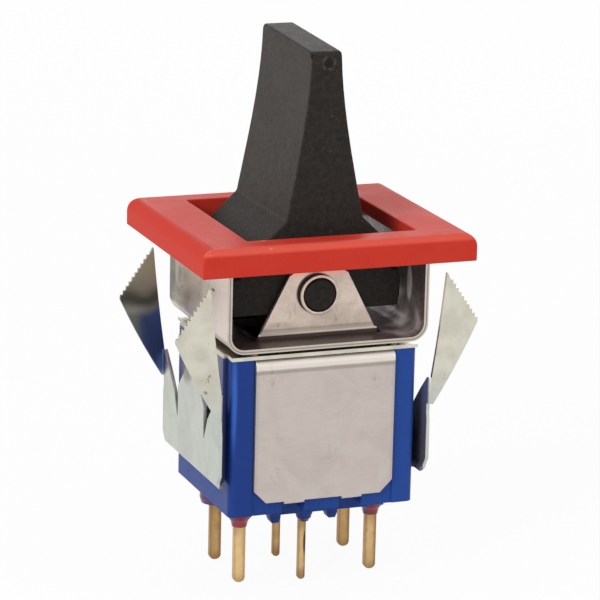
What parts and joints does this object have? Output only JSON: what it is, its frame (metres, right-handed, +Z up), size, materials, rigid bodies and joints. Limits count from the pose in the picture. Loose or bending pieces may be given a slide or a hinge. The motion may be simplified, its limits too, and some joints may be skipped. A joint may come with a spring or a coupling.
{
  "type": "toggle switch",
  "caption": "Snap-in miniature toggle switch: flat tapered paddle through a rectangular bezel, on a moulded case with spring clips, a folded frame and straight pins.",
  "frame": {"origin": "centre of the pattern of pins, on the plane of the common pins' tips", "axes": "+Z up along the upright lever, -Y the front with the frame's plain plate, the lever swings towards +X and -X"},
  "size_m": [0.021, 0.0158, 0.0367],
  "materials": {
    "blue_moulding": "satin",
    "gold_plate": "polished",
    "resin": "gloss",
    "contact_metal": "polished",
    "plunger_metal": "polished",
    "spring_wire": "drawn",
    "frame_steel": "satin",
    "clip_steel": "satin",
    "strap_steel": "satin",
    "red_moulding": "satin",
    "black_moulding": "matt"
  },
  "bodies": {
    "switch_body": {"case": "blue_moulding", "terminal_front_left": "gold_plate", "terminal_front_common": "gold_plate", "terminal_front_right": "gold_plate", "terminal_back_left": "gold_plate", "terminal_back_common": "gold_plate", "terminal_back_right": "gold_plate", "seal_front_left": "resin", "seal_front_common": "resin", "seal_front_right": "resin", "seal_back_left": "resin", "seal_back_common": "resin", "seal_back_right": "resin", "switch_frame": "frame_steel", "clip_bracket": "clip_steel", "mounting_strap": "strap_steel", "bezel": "red_moulding"},
    "lever": {"paddle": "black_moulding", "plunger_spring_front": "spring_wire", "plunger_spring_back": "spring_wire"},
    "rocker_front": {"contact_rocker_front": "contact_metal"},
    "rocker_back": {"contact_rocker_back": "contact_metal"},
    "plunger_front": {"plunger_front": "plunger_metal"},
    "plunger_back": {"plunger_back": "plunger_metal"}
  },
  "joints": [
    {"name": "lever_hinge", "type": "hinge", "parent": "switch_body", "child": "lever", "pos_m": [0, 0, 0.02014], "axis": [0, 1, 0], "range_deg": [-12.5, 12.5]},
    {"name": "rocker_front_tilt", "type": "hinge", "parent": "switch_body", "child": "rocker_front", "pos_m": [0, -0.00242, 0.0084], "axis": [0, 1, 0], "range_deg": [-6.3, 6.3]},
    {"name": "rocker_back_tilt", "type": "hinge", "parent": "switch_body", "child": "rocker_back", "pos_m": [0, 0.00242, 0.0084], "axis": [0, 1, 0], "range_deg": [-6.3, 6.3]},
    {"name": "plunger_front_slide", "type": "slide", "parent": "lever", "child": "plunger_front", "axis": [0, 0, 1], "range_m": [0, 0.0004], "stiffness_N_per_m": 100, "springref_m": -0.002, "deforming": ["plunger_spring_front"]},
    {"name": "plunger_back_slide", "type": "slide", "parent": "lever", "child": "plunger_back", "axis": [0, 0, 1], "range_m": [0, 0.0004], "stiffness_N_per_m": 100, "springref_m": -0.002, "deforming": ["plunger_spring_back"]}
  ],
  "couplings": [
    {"joint": "rocker_front_tilt", "follows": "lever_hinge", "ratio": -0.5},
    {"joint": "rocker_back_tilt", "follows": "lever_hinge", "ratio": -0.5}
  ]
}
